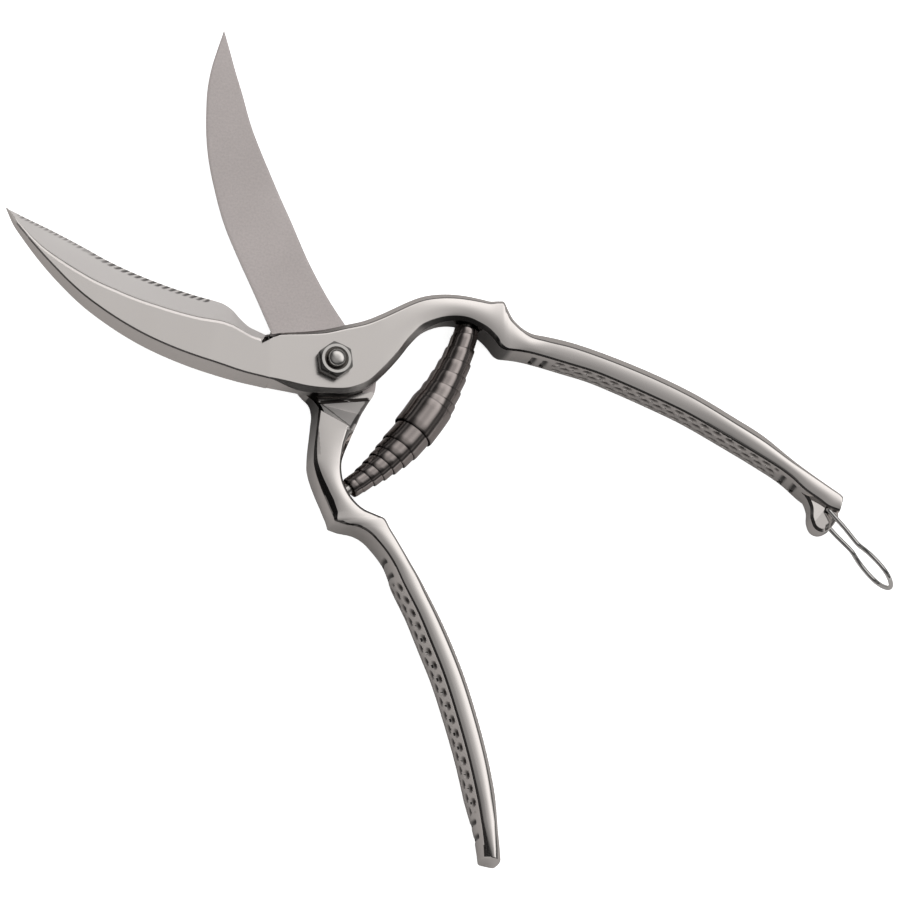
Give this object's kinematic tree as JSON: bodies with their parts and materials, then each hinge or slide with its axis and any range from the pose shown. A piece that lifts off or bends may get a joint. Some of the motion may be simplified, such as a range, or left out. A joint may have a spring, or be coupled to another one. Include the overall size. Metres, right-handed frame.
{
  "type": "poultry shears",
  "caption": "Forged steel poultry shears with a serrated and a plain curved blade, knurled handles, a volute spring between them, a hex nut pivot and a wire latch loop.",
  "frame": {"origin": "on the pivot axis, in the plane of the rear lever's back and of the flush bolt head, with the shears open", "axes": "+Z along the pivot axis towards the nut; in plan, seen from the nut's side, the serrated blade points to -X and a little to +Y, its handle points to +X, the plain blade points to +Y and its handle to -Y"},
  "size_m": [0.252, 0.2403, 0.0188],
  "materials": {
    "lever_front": "polished, with knurled grips",
    "lever_rear": "polished, with a satin inner blade face",
    "fastener": "polished, turned",
    "spring_strip": "dark tempered strip",
    "wire": "bright wire"
  },
  "bodies": {
    "front_body": {"front_lever": "lever_front", "spring_peg_front": "fastener", "spring_volute_upper": "spring_strip"},
    "rear_body": {"rear_lever": "lever_rear", "pivot_bolt": "fastener", "pivot_nut": "fastener", "spring_peg_rear": "fastener", "spring_volute_lower": "spring_strip"},
    "loop_body": {"latch_loop": "wire"}
  },
  "joints": [
    {"name": "pivot", "type": "hinge", "parent": "front_body", "child": "rear_body", "pos_m": [0, 0, 0.006], "axis": [0, 0, 1], "range_deg": [0, 50], "stiffness_Nm_per_rad": 0.6, "deforming": ["spring_volute_lower", "spring_volute_upper"]},
    {"name": "latch_swing", "type": "hinge", "parent": "front_body", "child": "loop_body", "pos_m": [0.14135, -0.03875, 0.006], "axis": [0, 0, 1], "range_deg": [-60, 15]}
  ]
}
